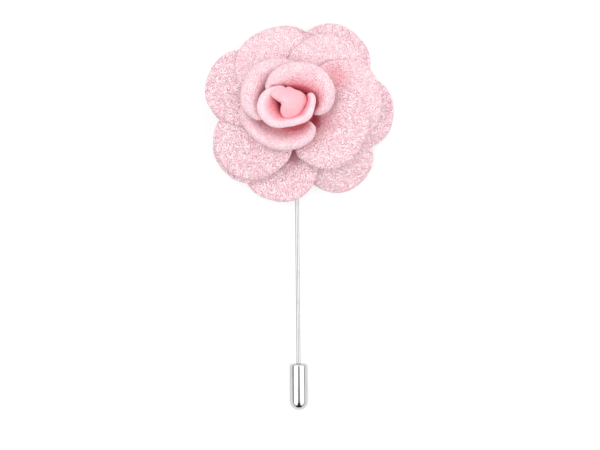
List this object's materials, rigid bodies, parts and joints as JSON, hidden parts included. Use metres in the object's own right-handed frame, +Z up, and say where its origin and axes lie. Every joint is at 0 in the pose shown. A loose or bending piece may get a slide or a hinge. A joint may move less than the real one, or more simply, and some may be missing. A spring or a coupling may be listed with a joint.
{
  "type": "flower lapel pin",
  "caption": "Fabric rose on a straight stick pin with a pad behind the flower and a slide-on metal cap over the point.",
  "frame": {"origin": "under the middle of the whole pin, on the surface that it lies on", "axes": "+Z up out of the table, the way the flower faces; the needle points along -Y and its cap slides off that way; +X to the right as the flower is seen with the needle below it"},
  "size_m": [0.0498, 0.1024, 0.0209],
  "materials": {
    "petal_cloth": "pale pink crepe with a fine open weave",
    "bud_satin": "smooth pale pink satin",
    "needle_metal": "polished plated steel",
    "cap_metal": "bright polished plating"
  },
  "bodies": {
    "flower_and_needle": {"back_petal_1": "petal_cloth", "back_petal_2": "petal_cloth", "back_petal_3": "petal_cloth", "back_petal_4": "petal_cloth", "back_petal_5": "petal_cloth", "back_petal_6": "petal_cloth", "back_petal_7": "petal_cloth", "middle_petal_1": "petal_cloth", "middle_petal_2": "petal_cloth", "middle_petal_3": "petal_cloth", "middle_petal_4": "petal_cloth", "middle_petal_5": "petal_cloth", "middle_petal_6": "petal_cloth", "cup_left": "petal_cloth", "cup_bottom": "petal_cloth", "cup_right": "petal_cloth", "cup_ring": "bud_satin", "bud": "bud_satin", "pin_stem": "needle_metal"},
    "cap": {"cap": "cap_metal"}
  },
  "joints": [
    {"name": "cap_slide", "type": "slide", "parent": "flower_and_needle", "child": "cap", "axis": [0, -1, 0], "range_m": [0, 0.015]}
  ]
}
